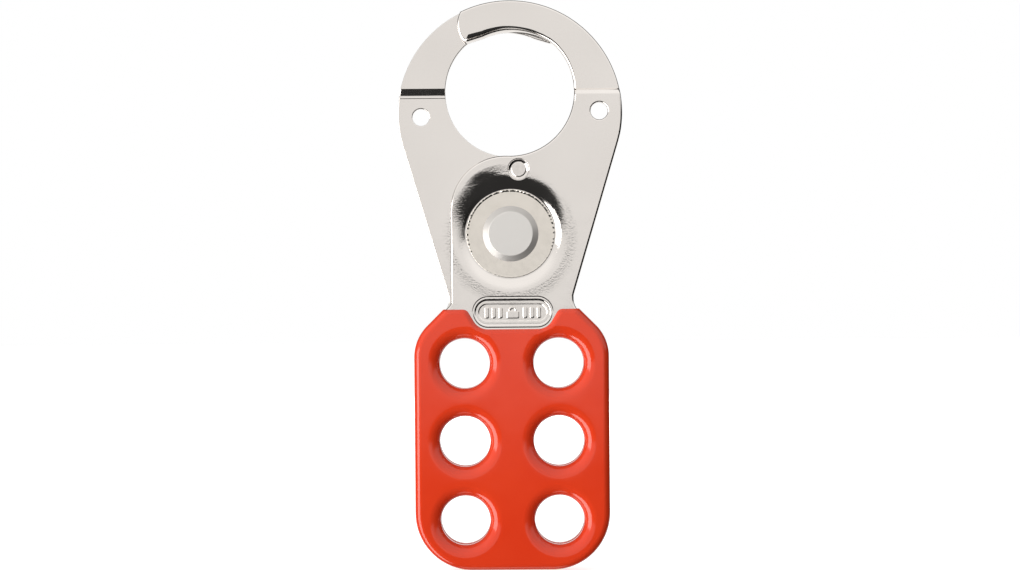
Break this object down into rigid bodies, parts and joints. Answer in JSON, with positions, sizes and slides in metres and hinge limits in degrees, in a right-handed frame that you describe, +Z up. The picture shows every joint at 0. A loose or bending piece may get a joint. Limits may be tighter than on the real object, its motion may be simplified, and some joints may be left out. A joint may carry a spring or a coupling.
{
  "type": "lockout hasp",
  "caption": "Scissor-action lockout hasp: riveted plated steel plates close as a round jaw, with dip-coated handles pierced for padlock shackles.",
  "frame": {"origin": "centre of the round jaw opening, on the middle plane between the two plates", "axes": "+Z up along the hasp from the handles to the jaw ring, -Y out of the front face, +X to the right seen from the front; as it hangs from a lockout point"},
  "size_m": [0.044, 0.0094, 0.1114],
  "materials": {
    "nickel_plate": "polished",
    "washer_nickel": "gloss",
    "rivet_steel": "satin",
    "pin_nickel": "gloss",
    "red_vinyl": "gloss"
  },
  "bodies": {
    "rear_half": {"rear_plate": "nickel_plate", "rear_coating": "red_vinyl", "rear_stop_pin": "pin_nickel", "pivot_rivet": "rivet_steel", "front_washer": "washer_nickel", "rear_washer": "washer_nickel"},
    "front_half": {"front_plate": "nickel_plate", "front_coating": "red_vinyl", "front_stop_pin": "pin_nickel"}
  },
  "joints": [
    {"name": "jaw_pivot", "type": "hinge", "parent": "rear_half", "child": "front_half", "pos_m": [0, 0, -0.0279], "axis": [0, 1, 0], "range_deg": [0, 70]}
  ]
}
